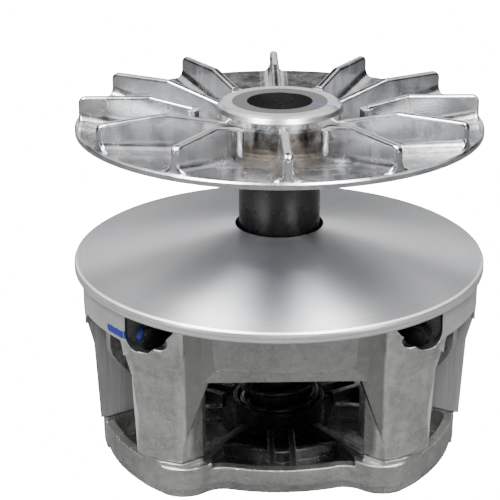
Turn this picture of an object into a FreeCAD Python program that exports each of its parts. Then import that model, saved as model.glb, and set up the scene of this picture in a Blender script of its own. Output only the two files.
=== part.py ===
"""Primary (drive) clutch of a belt-driven variable transmission: two conical
pulley halves on a hollow steel post, with the flyweight mechanism under the
lower half.  Millimetres, +Z up along the shaft axis, origin on the axis in
the plane of the cover's underside.

Three stations, 120 degrees apart, hold the flyweights.  A station is drawn
once along +X, "out" being the distance from the axis and "across" the
distance to the left of the station's centre plane, and is then turned to its
place.  Between the stations are three windows.
"""
import FreeCAD, Part
import math
import os

os.makedirs("parts", exist_ok=True)
Vector = FreeCAD.Vector
Z_AXIS = Vector(0, 0, 1)

# --- driving dimensions ------------------------------------------------------
SHEAVE_RADIUS = 101.5      # largest radius, at the movable half's lip
FACE_RADIUS = 100.0        # outer edge of the turned belt face
FACE_ANGLE = 10.2          # slope of both belt faces, degrees
FACE_EDGE_Z = 98.0         # height of the movable belt face's outer edge
RIM_GAP = 64.0             # height between the two rims, wide open
SHIFT_TRAVEL = 22.0        # how far the movable half rises
POST_RADIUS = 20.0
FIT_GAP = 0.05             # radial clearance of a running fit
BODY_GAP = 0.3             # clearance between bodies that pass each other
SINK = 0.6                 # how far a joined piece runs into the one it meets

STATION_COUNT = 3
STATION_STEP = 360.0 / STATION_COUNT
STATION_AZIMUTHS = [90.0 + STATION_STEP * i for i in range(STATION_COUNT)]
WINDOW_AZIMUTHS = [270.0 + STATION_STEP * i for i in range(STATION_COUNT)]

# fixed half
FIXED_RIM_RADIUS = 98.0
FIXED_RIM_Z = FACE_EDGE_Z + RIM_GAP
FIXED_RIM_DEPTH = 2.9
FIXED_FLOOR_DEPTH = 3.6
FIXED_HUB_RADIUS = 29.3
FIXED_HUB_TOP = FIXED_RIM_Z + 12.0
HUB_BAND = [(29.3, 7.0), (30.8, 6.0), (30.8, 3.2), (29.6, 1.2), (27.8, 0.0)]   # (radius, below the top)
COLLAR_RADIUS = 23.0
COLLAR_DEPTH = 8.0
FIN_COUNT = 12
FIN_THICKNESS = 4.2
FIN_TOP = FIXED_RIM_Z + 14.7
FIN_KNEE_RADIUS = 62.0     # the fin tops are level outside this radius
FIN_INNER_DROP = 8.7       # and fall this much towards the hub
FIN_END_RADIUS = 96.2
FIN_CORNER = 3.5
FIN_FOOT_FILLET = 5.0
FIN_EDGE_RADIUS = 1.6
SHORT_FIN_RADIUS = 42.0    # inner end of every second fin
SHORT_FIN_POST = 3.4

# post
LOWER_POST_RADIUS = 15.0   # below the spider
BORE_MOUTH_RADIUS = 15.8
BORE_MOUTH_LENGTH = 6.0
TAPER_END_RADIUS = 11.0
TAPER_LENGTH = 80.0
BOLT_BORE_RADIUS = 6.5
POST_BOTTOM = 3.0
POST_CHAMFER = 1.2

# movable half
MOVABLE_BORE = 21.9
FACE_RISE = (FACE_RADIUS - MOVABLE_BORE) * math.tan(math.radians(FACE_ANGLE))
LIP_DEPTH = 5.2
BACK_Z = FACE_EDGE_Z - 5.4
MOVABLE_HUB_RADIUS = 30.0
MOVABLE_HUB_BOTTOM = 80.0
BUSH_RECESS = 6.0
SKIRT_RADIUS = 99.7
SKIRT_WALL = 4.2
SKIRT_BOTTOM = 78.5
SKIRT_HALF_ANGLE = 18.0
SHOULDER_BOTTOM = 77.0     # the shoulders hold the skirt's radius down to here
SHOULDER_FOOT = 61.0       # and have run into the towers here

# channels and towers, two towers to a station
CHANNEL_HALF = 20.5
CHANNEL_WALL = 4.0
TOWER_OUT_LOW = 91.7       # outer corner at the channel, at the tower's foot
TOWER_OUT_HIGH = 94.9      # and under the disc
TOWER_INNER = 57.0
TOWER_BOTTOM = 18.0
TOWER_BOW = 0.7            # how far the outer face bows beyond a straight line
RIDGE_RADIUS = 88.0
RIDGE_ANGLE_LOW = 27.0     # from the station's centre plane
RIDGE_ANGLE_HIGH = 29.6
FLANK_RADIUS = 77.0
FLANK_ANGLE = 30.5
FLANK_FOOT = (66.5, 30.0)
FOOT_CHAMFER = 1.2
SHOULDER_ROOT = 84.0       # the shoulders' inner side, inside the towers
SHOULDER_HIGH = [(98.6, 16.0), (96.3, 21.0), (93.0, 25.0), (88.6, 28.9), (SHOULDER_ROOT, 27.5)]
SHOULDER_LOW = [(93.0, 16.0), (91.6, 21.0), (89.6, 25.0), (88.0, 27.8), (SHOULDER_ROOT, 27.5)]
SHOULDER_LOW_OUT = 93.6
FLARE_FACES = (95.8, 97.2)
FLARE_REACH = 3.4
FLARE_DROP = 6.5
FLARE_BULGE = 0.35
POCKET_ANGLE = 18.0
POCKET_FLOOR = 76.0        # the pocket's outline is in (sideways, z)
POCKET_TOP_LEFT = -8.5
POCKET_LEFT = [(-8.7, 84.6), (-7.4, 79.0), (-2.8, 75.6)]
POCKET_RIGHT = [(3.0, 76.2), (8.2, 80.8), (13.7, 87.6)]
POCKET_TOP_RIGHT = 15.0
POCKET_RIM_WALL = 0.9      # channel wall left at the pocket's outer end
WEB_HALF = 2.0             # web in a station's centre plane, carries the pivot
WEB_OUT = 95.3
WEB_INNER = 77.0
WEB_LOWER_EDGE = [(WEB_INNER, 57.0), (81.5, 50.5), (85.1, 50.7), (90.6, 57.0), (94.6, 64.0), (WEB_OUT, 68.0)]
WEB_WINDOW = [(86.8, 67.4), (87.0, 62.0), (83.2, 56.4), (80.4, 57.2), (80.4, 67.4)]

# window panels
BAND_RADIUS = 88.0
BAND_WALL = 4.0
BAND_BOTTOM = 71.8
BAND_HALF_ANGLE = 21.6
CHORD_DISTANCE = 82.0
CHORD_WALL = 5.0
CHORD_BOTTOM = 65.0
CHORD_HALF_WIDTH = 38.0
LEDGE_WIDE = 26.0
LEDGE_NARROW = 18.0
LEDGE_DEPTH = 3.0
GUSSET_TIP_Z = 28.0
GUSSET_TIP_SHARE = 0.04
GUSSET_WALL = 5.0

# flyweights and rollers
PIVOT_OUT = 87.0
PIVOT_Z = 81.5
PIVOT_BOLT_RADIUS = 3.0
PIVOT_BOSS_RADIUS = 7.2
ROLLER_OUT = PIVOT_OUT - 25.0
ROLLER_Z = PIVOT_Z - 21.0
ROLLER_RADIUS = 9.5
ROLLER_HALF = 6.6
ROLLER_PIN_RADIUS = 3.5
WEIGHT_SWING = 46.0        # degrees over the whole shift travel
WEIGHT_HALF = 5.8
WEIGHT_FORK_REACH = 33.0   # the slot that straddles the web, from the pivot
SLEEVE_RADIUS = 5.6
BUSH_WALL = 1.6
BOLT_HEAD_FLATS = 9.6
BOLT_HEAD_DEPTH = 4.4
BOLT_NUT_DEPTH = 5.0
BOLT_OVERHANG = 0.5

# spider
SPIDER_HUB_RADIUS = 33.0
SPIDER_BOTTOM = 50.0
SPIDER_TOP = 71.5
CHEEK_INNER = 8.0
CHEEK_OUTER = 15.5
CHEEK_END = 72.0
ARM_BOTTOM = 53.0
ARM_TOP = 68.0
BUTTON_RADIUS = 7.0
BUTTON_OUT = 68.0
BUTTON_STEM = 2.5
NUT_RADIUS = 28.0
NUT_DEPTH = 5.5

# cover
COVER_RADIUS = 91.0
COVER_WALL = 4.6
COVER_RIM = 15.5
COVER_FRONT_RIM = 12.6
COVER_FLOOR = 5.0
COVER_STEP = 4.2
COVER_STEP_IN = 1.2
LOBE_END_ANGLE = 38.1      # where a lobe's round wall meets its flank
LOBE_FLANK_BULGE = (74.0, 48.5)
LOBE_FLANK_END = (70.4, 37.0)
DIP_MIDDLE = (67.6, 31.5)
DIP_END = (67.4, 27.0)
FRONT_OUT = 71.3
RIB_TOP = 12.0
RIB_ROOT = 4.0             # ribs and pads start inside the floor
RIB_START = 29.8
CENTRE_RIB_OFFSET = 5.2
CENTRE_RIB_WALL = 3.0
CENTRE_RIB_LENGTH = 40.0
LOBE_RIB_WALL = 3.4
LOBE_RIB_LENGTH = 56.2
LOBE_RIB_ANGLE = 36.0
FRAME_BAR_OUT = 46.0
FRAME_BAR_LENGTH = 30.0
FRAME_BAR_TOP = 11.0
FRAME_BAR_ANGLE = 17.0
PAD_INNER = 66.5
COVER_BUSH_BOTTOM = 1.0
COVER_BUSH_TOP = 12.0
CUP_FLANGE_RADIUS = 29.0   # black cup on the cover's floor that holds the spring
CUP_FLANGE_TOP = 8.0
CUP_RADIUS = 23.8
CUP_INNER = 21.6
CUP_TOP = 17.0
SPRING_SEAT_Z = 7.5
SCREW_ANGLE = 24.0
SCREW_CIRCLE = 80.0
SCREW_RADIUS = 3.0
SCREW_HEAD_RADIUS = 6.5
SCREW_HEAD_DEPTH = 4.8
SCREW_REACH = 30.0

# primary spring
SPRING_MEAN_RADIUS = 19.0
SPRING_WIRE = 1.9          # wire radius
SPRING_TURNS = 4.0
SPRING_END_GAP = 0.2


# --- helpers -----------------------------------------------------------------
def polar(radius, angle_deg):
    """Point at a radius and an angle from +X, as (x, y)."""
    angle = math.radians(angle_deg)
    return (radius * math.cos(angle), radius * math.sin(angle))


def turned(points):
    """Solid of revolution round Z from an outline of (radius, z) points."""
    corners = [Vector(r, 0, z) for r, z in points]
    face = Part.Face(Part.makePolygon(corners + corners[:1]))
    return face.revolve(Vector(0, 0, 0), Z_AXIS, 360)


def ring(outer, inner, low, high):
    """Plain ring between two heights."""
    return turned([(inner, low), (outer, low), (outer, high), (inner, high)])


def prism(points, low, high):
    """Upright prism over an outline of (x, y) points."""
    corners = [Vector(x, y, low) for x, y in points]
    face = Part.Face(Part.makePolygon(corners + corners[:1]))
    return face.extrude(Vector(0, 0, high - low))


def plate(points, near, far):
    """Plate over an outline of (out, z) points, between two 'across' values."""
    corners = [Vector(out, near, z) for out, z in points]
    face = Part.Face(Part.makePolygon(corners + corners[:1]))
    return face.extrude(Vector(0, far - near, 0))


def cross_rod(radius, out, z, near, far):
    """Cylinder lying across a station."""
    return Part.makeCylinder(radius, far - near, Vector(out, near, z), Vector(0, 1, 0))


def sector(outline, middle_deg, half_deg):
    """Part of a solid of revolution within half_deg of an azimuth."""
    corners = [Vector(r, 0, z) for r, z in outline]
    face = Part.Face(Part.makePolygon(corners + corners[:1]))
    face.rotate(Vector(0, 0, 0), Z_AXIS, middle_deg - half_deg)
    return face.revolve(Vector(0, 0, 0), Z_AXIS, 2 * half_deg)


def turn(shape, azimuth):
    """Copy of a shape turned round Z."""
    copy = shape.copy()
    copy.rotate(Vector(0, 0, 0), Z_AXIS, azimuth)
    return copy


def mirror_across(shape):
    """Copy of a station shape mirrored in the station's centre plane."""
    return shape.mirror(Vector(0, 0, 0), Vector(0, 1, 0))


def around(shape, azimuths):
    """One copy of a shape at each azimuth."""
    return [turn(shape, azimuth) for azimuth in azimuths]


def join(first, others):
    """One solid from several that touch or overlap."""
    return first.fuse(others).removeSplitter()


def write(node, shape):
    """Write one node's STEP file."""
    shape.exportStep("parts/" + node + ".step")


def hexagon(across_flats, out, z, near, far):
    """Hexagonal head or nut lying across a station."""
    radius = across_flats / math.sqrt(3)
    points = []
    for i in range(6):
        x, y = polar(radius, 60 * i)
        points.append((out + x, z + y))
    return plate(points, near, far)


# --- fixed half --------------------------------------------------------------
def fixed_face_z(radius):
    """Height of the fixed half's belt face."""
    return FIXED_RIM_Z - (FIXED_RIM_RADIUS - radius) * math.tan(math.radians(FACE_ANGLE))


def fin(inner_radius):
    """One fin along +X, with a flared foot that follows the sloping floor."""
    half = FIN_THICKNESS / 2
    foot = half + FIN_FOOT_FILLET
    floor_z = fixed_face_z(inner_radius) + FIXED_FLOOR_DEPTH - 1.0
    start = Vector(inner_radius, 0, 0)
    diagonal = FIN_FOOT_FILLET * (1 - math.sqrt(0.5))

    def corner(across, height):
        return start + Vector(0, across, floor_z + height)

    top = 45.0
    left = Part.Arc(
        corner(-foot, 1.0), corner(-half - diagonal, 1.0 + diagonal), corner(-half, 1.0 + FIN_FOOT_FILLET)
    )
    right = Part.Arc(
        corner(half, 1.0 + FIN_FOOT_FILLET), corner(half + diagonal, 1.0 + diagonal), corner(foot, 1.0)
    )
    edges = [
        left.toShape(),
        Part.makeLine(corner(-half, 1.0 + FIN_FOOT_FILLET), corner(-half, top)),
        Part.makeLine(corner(-half, top), corner(half, top)),
        Part.makeLine(corner(half, top), corner(half, 1.0 + FIN_FOOT_FILLET)),
        right.toShape(),
        Part.makeLine(corner(foot, 1.0), corner(foot, 0)),
        Part.makeLine(corner(foot, 0), corner(-foot, 0)),
        Part.makeLine(corner(-foot, 0), corner(-foot, 1.0)),
    ]
    run = 70.0
    slope = Vector(run, 0, run * math.tan(math.radians(FACE_ANGLE)))
    blade = Part.Face(Part.Wire(edges)).extrude(slope)
    body = blade.common(fin_side_view(inner_radius, foot)).Solids[0]
    return body.makeFillet(FIN_EDGE_RADIUS, fin_crest_edges(body, inner_radius))


def fin_crest_edges(body, inner_radius):
    """A fin's upper and outer edges on both of its side faces."""
    crest = []
    for edge in body.Edges:
        box = edge.BoundBox
        on_side = box.YLength < 1e-6 and abs(abs(box.YMin) - FIN_THICKNESS / 2) < 1e-6
        at_hub = box.XMax < inner_radius + 0.1
        along_foot = box.XLength > FIN_END_RADIUS - inner_radius - 0.1
        if on_side and not at_hub and not along_foot:
            crest.append(edge)
    return crest


def fin_side_view(inner_radius, half_width):
    """Outline of a fin seen from its side, as a thick plate."""
    low = fixed_face_z(inner_radius) + 1.0
    drop_rate = FIN_INNER_DROP / (FIN_KNEE_RADIUS - FIXED_HUB_RADIUS)
    inner_top = FIN_TOP - (FIN_KNEE_RADIUS - inner_radius) * drop_rate
    corner_start = Vector(FIN_END_RADIUS - FIN_CORNER, -half_width, FIN_TOP)
    corner_end = Vector(FIN_END_RADIUS, -half_width, FIN_TOP - FIN_CORNER)
    bulge = FIN_CORNER * (1 - math.sqrt(0.5))
    corner_mid = Vector(FIN_END_RADIUS - bulge, -half_width, FIN_TOP - bulge)
    points = [
        corner_end,
        Vector(FIN_END_RADIUS, -half_width, fixed_face_z(FIN_END_RADIUS) + 1.0),
        Vector(inner_radius, -half_width, low),
        Vector(inner_radius, -half_width, inner_top),
        Vector(FIN_KNEE_RADIUS, -half_width, FIN_TOP),
        corner_start,
    ]
    edges = [Part.makeLine(points[i], points[i + 1]) for i in range(len(points) - 1)]
    edges.append(Part.Arc(corner_start, corner_mid, corner_end).toShape())
    return Part.Face(Part.Wire(edges)).extrude(Vector(0, 2 * half_width, 0))


def fixed_sheave():
    """Upper half: thin cone with twelve fins round a hub."""
    bore = POST_RADIUS
    floor_at_hub = fixed_face_z(FIXED_HUB_RADIUS) + FIXED_FLOOR_DEPTH
    rim_top = FIXED_RIM_Z + FIXED_RIM_DEPTH
    body = turned([
        (bore, fixed_face_z(bore)),
        (FIXED_RIM_RADIUS, FIXED_RIM_Z),
        (FIXED_RIM_RADIUS, rim_top - 0.8),
        (FIXED_RIM_RADIUS - 0.8, rim_top),
        (FIXED_HUB_RADIUS + 4.0, floor_at_hub + 0.8),
        (FIXED_HUB_RADIUS + 1.2, floor_at_hub + 2.4),
        (FIXED_HUB_RADIUS, floor_at_hub + 5.0),
        *[(radius, FIXED_HUB_TOP - below) for radius, below in HUB_BAND],
        (COLLAR_RADIUS, FIXED_HUB_TOP),
        (COLLAR_RADIUS, FIXED_HUB_TOP - COLLAR_DEPTH),
        (bore, FIXED_HUB_TOP - COLLAR_DEPTH),
    ])
    step = 360.0 / FIN_COUNT
    long_fins = around(fin(FIXED_HUB_RADIUS - 2.0), [30 + 2 * step * i for i in range(FIN_COUNT // 2)])
    short = fin(SHORT_FIN_RADIUS)
    post_low = fixed_face_z(SHORT_FIN_RADIUS) + 1.0
    post_height = FIXED_HUB_TOP - 4.0 - post_low
    post = Part.makeCylinder(SHORT_FIN_POST, post_height, Vector(SHORT_FIN_RADIUS, 0, post_low))
    short = join(short, [post])
    short_fins = around(short, [2 * step * i for i in range(FIN_COUNT // 2)])
    return join(body, long_fins + short_fins)


# --- post --------------------------------------------------------------------
def post_shaft():
    """Hollow steel post with a collar, a slimmer lower end, a taper and a bolt bore."""
    top = FIXED_HUB_TOP
    taper_top = top - BORE_MOUTH_LENGTH
    taper_bottom = taper_top - TAPER_LENGTH
    return turned([
        (BORE_MOUTH_RADIUS, top),
        (COLLAR_RADIUS, top),
        (COLLAR_RADIUS, top - COLLAR_DEPTH),
        (POST_RADIUS, top - COLLAR_DEPTH),
        (POST_RADIUS, SPIDER_BOTTOM),
        (LOWER_POST_RADIUS, SPIDER_BOTTOM),
        (LOWER_POST_RADIUS, POST_BOTTOM + POST_CHAMFER),
        (LOWER_POST_RADIUS - POST_CHAMFER, POST_BOTTOM),
        (BOLT_BORE_RADIUS, POST_BOTTOM),
        (BOLT_BORE_RADIUS, taper_bottom),
        (TAPER_END_RADIUS, taper_bottom),
        (BORE_MOUTH_RADIUS, taper_top),
    ])


# --- movable half ------------------------------------------------------------
def movable_disc():
    """Conical disc with its lip and its hub."""
    slope = math.tan(math.radians(FACE_ANGLE))
    neck = MOVABLE_HUB_RADIUS + 3.0
    back_rim = 90.0
    back_neck = BACK_Z + (back_rim - neck) * slope
    lip_low = FACE_EDGE_Z - LIP_DEPTH
    return turned([
        (MOVABLE_BORE, FACE_EDGE_Z + FACE_RISE),
        (FACE_RADIUS, FACE_EDGE_Z),
        (SHEAVE_RADIUS - 0.4, FACE_EDGE_Z - 0.7),
        (SHEAVE_RADIUS, FACE_EDGE_Z - 1.6),
        (SHEAVE_RADIUS, lip_low + 0.8),
        (SHEAVE_RADIUS - 0.6, lip_low),
        (back_rim, BACK_Z),
        (neck, back_neck),
        (MOVABLE_HUB_RADIUS, back_neck - 3.0),
        (MOVABLE_HUB_RADIUS, MOVABLE_HUB_BOTTOM),
        (MOVABLE_BORE, MOVABLE_HUB_BOTTOM),
    ])


def tower_outline(corner_out, ridge_angle):
    """Tower section in the station frame at z = 0, with a bowed outer face."""
    ridge = polar(RIDGE_RADIUS, ridge_angle)
    corner = (corner_out, CHANNEL_HALF)
    middle_out = (ridge[0] + corner[0]) / 2 + TOWER_BOW
    middle = (middle_out, (ridge[1] + corner[1]) / 2 + TOWER_BOW)
    flank = polar(FLANK_RADIUS, FLANK_ANGLE)
    wall = CHANNEL_HALF + CHANNEL_WALL
    path = [ridge, flank, FLANK_FOOT, (TOWER_INNER, wall), (TOWER_INNER, CHANNEL_HALF), corner]
    edges = [Part.Arc(Vector(*corner, 0), Vector(*middle, 0), Vector(*ridge, 0)).toShape()]
    for start, end in zip(path, path[1:]):
        edges.append(Part.makeLine(Vector(*start, 0), Vector(*end, 0)))
    return Part.Wire(edges)


def loft_between(low_wire, low, high_wire, high):
    """Solid between two flat wires with the same number of edges."""
    low_wire.translate(Vector(0, 0, low))
    high_wire.translate(Vector(0, 0, high))
    return Part.makeLoft([low_wire, high_wire], True, True)


def tower():
    """One tower, from the cover up to the disc, leaning outwards a little."""
    foot = TOWER_BOTTOM + FOOT_CHAMFER
    shrunk = Part.Face(tower_outline(TOWER_OUT_LOW, RIDGE_ANGLE_LOW)).makeOffset2D(-FOOT_CHAMFER)
    toe = prism_of(shrunk, TOWER_BOTTOM, foot)
    column = loft_between(
        tower_outline(TOWER_OUT_LOW, RIDGE_ANGLE_LOW), foot,
        tower_outline(TOWER_OUT_HIGH, RIDGE_ANGLE_HIGH), BACK_Z + SINK)
    return join(column, [toe])


def prism_of(face, low, high):
    """Upright prism over a face drawn at z = 0."""
    copy = face.copy()
    copy.translate(Vector(0, 0, low))
    return copy.extrude(Vector(0, 0, high - low))


def polygon_wire(points):
    """Closed wire through (x, y) points at z = 0."""
    corners = [Vector(x, y, 0) for x, y in points]
    return Part.makePolygon(corners + corners[:1])


def shoulder():
    """Swelling at a tower's top that carries the skirt's radius into the tower."""
    edge_out = math.sqrt(SKIRT_RADIUS ** 2 - CHANNEL_HALF ** 2)
    inner_corner = (SHOULDER_ROOT, CHANNEL_HALF)
    swollen = [(edge_out, CHANNEL_HALF)] + [polar(*point) for point in SHOULDER_HIGH] + [inner_corner]
    drawn_in = [(SHOULDER_LOW_OUT, CHANNEL_HALF)] + [polar(*point) for point in SHOULDER_LOW] + [inner_corner]
    upper = prism_of(Part.Face(polygon_wire(swollen)), SHOULDER_BOTTOM, BACK_Z + SINK)
    lower = loft_between(polygon_wire(drawn_in), SHOULDER_FOOT, polygon_wire(swollen), SHOULDER_BOTTOM)
    return join(upper, [lower])


def skirt_flare():
    """Rounded corner between the skirt's lower edge and a tower."""
    near, far = FLARE_FACES
    root = CHANNEL_HALF + SINK
    top = SKIRT_BOTTOM + SINK + 0.3
    low = SKIRT_BOTTOM - FLARE_DROP
    inner = CHANNEL_HALF - FLARE_REACH
    start = Vector(near, inner, SKIRT_BOTTOM)
    bulge_across = CHANNEL_HALF - FLARE_REACH * FLARE_BULGE
    bulge = Vector(near, bulge_across, SKIRT_BOTTOM - FLARE_DROP * FLARE_BULGE)
    end = Vector(near, CHANNEL_HALF, low)
    edges = [
        Part.makeLine(Vector(near, inner, top), start),
        Part.Arc(start, bulge, end).toShape(),
        Part.makeLine(end, Vector(near, root, low)),
        Part.makeLine(Vector(near, root, low), Vector(near, root, top)),
        Part.makeLine(Vector(near, root, top), Vector(near, inner, top)),
    ]
    return Part.Face(Part.Wire(edges)).extrude(Vector(far - near, 0, 0))


def station_skirt():
    """Rim wall over a station, with shoulders that run into both towers."""
    inner = SKIRT_RADIUS - SKIRT_WALL
    top = BACK_Z + SINK
    curtain = sector(
        [(inner, SKIRT_BOTTOM), (SKIRT_RADIUS - 0.8, SKIRT_BOTTOM), (SKIRT_RADIUS, SKIRT_BOTTOM + 0.8),
         (SKIRT_RADIUS, top), (inner, top)],
        0, SKIRT_HALF_ANGLE)
    beyond_channel = Part.makeBox(120, 60, 120, Vector(0, CHANNEL_HALF + 1, 0))
    curtain = curtain.cut([beyond_channel, mirror_across(beyond_channel)])
    swelling = shoulder()
    corner = skirt_flare()
    return [curtain, swelling, mirror_across(swelling), corner, mirror_across(corner)]


def pocket():
    """Scooped pocket in a tower's top that reaches the pivot bolt."""

    def at(sideways, z):
        return Vector(POCKET_FLOOR, sideways, z)

    left = [at(*point) for point in POCKET_LEFT]
    right = [at(*point) for point in POCKET_RIGHT]
    top_left = at(POCKET_TOP_LEFT, BACK_Z)
    top_right = at(POCKET_TOP_RIGHT, BACK_Z)
    edges = [
        Part.makeLine(top_left, left[0]),
        Part.Arc(*left).toShape(),
        Part.makeLine(left[-1], right[0]),
        Part.Arc(*right).toShape(),
        Part.makeLine(right[-1], top_right),
        Part.makeLine(top_right, top_left),
    ]
    reach = SHEAVE_RADIUS + 2 - POCKET_FLOOR
    cut = turn(Part.Face(Part.Wire(edges)).extrude(Vector(reach, 0, 0)), POCKET_ANGLE)
    wall = CHANNEL_HALF + CHANNEL_WALL
    rim_wall = CHANNEL_HALF + POCKET_RIM_WALL
    beyond_wall = prism(
        [(60, wall), (86, wall), (97, rim_wall), (120, rim_wall), (120, 80), (60, 80)], 0, BACK_Z)
    return cut.common(beyond_wall)


def pivot_web():
    """Web in the station's centre plane, with a window, that carries the pivot."""
    top = BACK_Z + SINK
    ledge = SKIRT_BOTTOM + 2
    skirt_inside = SKIRT_RADIUS - SKIRT_WALL + 1.5
    outline = [(WEB_INNER, top)] + WEB_LOWER_EDGE + [
        (WEB_OUT, ledge), (skirt_inside, ledge), (skirt_inside, top)]
    web = plate(outline, -WEB_HALF, WEB_HALF).cut(plate(WEB_WINDOW, -WEB_HALF - 1, WEB_HALF + 1))
    return web.cut(cross_rod(PIVOT_BOLT_RADIUS + 0.1, PIVOT_OUT, PIVOT_Z, -40, 40))


def window_panel():
    """Band and flat wall over a window, drawn with the window along +X."""
    top = BACK_Z + SINK
    inner = BAND_RADIUS - BAND_WALL
    band = sector(
        [(inner, BAND_BOTTOM), (BAND_RADIUS - 0.8, BAND_BOTTOM), (BAND_RADIUS, BAND_BOTTOM + 0.8),
         (BAND_RADIUS, top), (inner, top)],
        0, BAND_HALF_ANGLE)
    chord = Part.makeBox(
        CHORD_WALL, 2 * CHORD_HALF_WIDTH, top - CHORD_BOTTOM,
        Vector(CHORD_DISTANCE - CHORD_WALL, -CHORD_HALF_WIDTH, CHORD_BOTTOM))
    ledge = prism(
        [(CHORD_DISTANCE - 1, -LEDGE_WIDE), (inner + 1, -LEDGE_NARROW), (inner + 1, LEDGE_NARROW),
         (CHORD_DISTANCE - 1, LEDGE_WIDE)],
        BAND_BOTTOM, BAND_BOTTOM + LEDGE_DEPTH)
    return join(band, [chord, ledge])


def gusset():
    """Triangular web from a tower's leaning ridge towards the window beside it."""
    top = BACK_Z + SINK
    edge = polar(BAND_RADIUS, BAND_HALF_ANGLE)
    foot = TOWER_BOTTOM + FOOT_CHAMFER

    def section(z, share):
        lean = (z - foot) / (top - foot) * (RIDGE_ANGLE_HIGH - RIDGE_ANGLE_LOW)
        ridge = polar(RIDGE_RADIUS, STATION_STEP / 2 - RIDGE_ANGLE_LOW - lean)
        outer = (ridge[0] + (edge[0] - ridge[0]) * share, ridge[1] + (edge[1] - ridge[1]) * share)
        wire = polygon_wire([
            ridge, outer, (outer[0] - GUSSET_WALL, outer[1] - 1.0), (ridge[0] - GUSSET_WALL, ridge[1] - 1.0)])
        wire.translate(Vector(0, 0, z))
        return wire

    sections = [section(GUSSET_TIP_Z, GUSSET_TIP_SHARE), section(BAND_BOTTOM, 1.0), section(top, 1.0)]
    return Part.makeLoft(sections, True, True)


def movable_sheave():
    """Lower half: disc, skirt, six towers, pivot ears and window panels."""
    left_tower = tower()
    towers = [left_tower, mirror_across(left_tower)]
    station_pieces = towers + [pivot_web()] + station_skirt()
    web = gusset()
    window_pieces = [window_panel(), web, web.mirror(Vector(0, 0, 0), Vector(0, 1, 0))]
    pieces = []
    for shape in station_pieces:
        pieces += around(shape, STATION_AZIMUTHS)
    for shape in window_pieces:
        pieces += around(shape, WINDOW_AZIMUTHS)
    body = join(movable_disc(), pieces)
    cuts = []
    bolt_hole = cross_rod(PIVOT_BOLT_RADIUS + 0.1, PIVOT_OUT, PIVOT_Z, -40, 40)
    for shape in (pocket(), mirror_across(pocket()), bolt_hole):
        cuts += around(shape, STATION_AZIMUTHS)
    thread = Part.makeCylinder(
        SCREW_RADIUS + 0.1, SCREW_REACH - TOWER_BOTTOM + 2, Vector(SCREW_CIRCLE, 0, TOWER_BOTTOM - 1))
    for azimuth in STATION_AZIMUTHS:
        cuts += around(thread, [azimuth - SCREW_ANGLE, azimuth + SCREW_ANGLE])
    return body.cut(cuts).removeSplitter()


# --- cover -------------------------------------------------------------------
def cover_outline():
    """Closed outline of the three-lobed cover at z = 0."""
    edges = []
    for azimuth in WINDOW_AZIMUTHS:

        def at(point, side):
            return turn(Part.Vertex(point[0], side * point[1], 0), azimuth).Point

        lobe_start = polar(COVER_RADIUS, LOBE_END_ANGLE)
        for side in (-1, 1):
            edges.append(Part.Arc(
                at(lobe_start, side), at(LOBE_FLANK_BULGE, side), at(LOBE_FLANK_END, side)).toShape())
            edges.append(Part.Arc(
                at(LOBE_FLANK_END, side), at(DIP_MIDDLE, side), at(DIP_END, side)).toShape())
        edges.append(Part.Arc(at(DIP_END, -1), at((FRONT_OUT, 0), 1), at(DIP_END, 1)).toShape())
        lobe_middle = polar(COVER_RADIUS, STATION_STEP / 2)
        next_start = polar(COVER_RADIUS, STATION_STEP - LOBE_END_ANGLE)
        edges.append(Part.Arc(at(lobe_start, 1), at(lobe_middle, 1), at(next_start, 1)).toShape())
    return Part.Face(Part.Wire(Part.__sortEdges__(edges)))


def outline_prism(inset, low, high):
    """Prism of the cover's outline moved inwards by inset."""
    face = cover_outline()
    if inset:
        face = face.makeOffset2D(-inset)
    face.translate(Vector(0, 0, low))
    return face.extrude(Vector(0, 0, high - low))


def cover_ribs():
    """Ribs from the cup to the walls, drawn with a window along +X."""
    height = RIB_TOP - RIB_ROOT
    ribs = []
    for side in (-1, 1):
        centre_y = side * CENTRE_RIB_OFFSET - CENTRE_RIB_WALL / 2
        ribs.append(Part.makeBox(
            CENTRE_RIB_LENGTH, CENTRE_RIB_WALL, height, Vector(RIB_START, centre_y, RIB_ROOT)))
        lobe_rib = Part.makeBox(
            LOBE_RIB_LENGTH, LOBE_RIB_WALL, height, Vector(RIB_START, -LOBE_RIB_WALL / 2, RIB_ROOT))
        ribs.append(turn(lobe_rib, side * LOBE_RIB_ANGLE))
        frame_bar = Part.makeBox(
            CENTRE_RIB_WALL, FRAME_BAR_LENGTH, FRAME_BAR_TOP - RIB_ROOT,
            Vector(FRAME_BAR_OUT, -FRAME_BAR_LENGTH / 2, RIB_ROOT))
        ribs.append(turn(frame_bar, side * FRAME_BAR_ANGLE))
    return ribs


def cover_pads():
    """Pads that the towers stand on, at every screw."""
    section = Part.Face(tower_outline(TOWER_OUT_LOW, RIDGE_ANGLE_LOW))
    pad = prism_of(section, 1.0, TOWER_BOTTOM)
    pad = pad.cut(Part.makeBox(PAD_INNER, 80, 40, Vector(0, -40, 0)))
    outer = outline_prism(0, 1.0, TOWER_BOTTOM)
    pads = []
    for shape in (pad, mirror_across(pad)):
        for copy in around(shape, STATION_AZIMUTHS):
            pads.append(copy.common(outer))
    return pads


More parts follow.
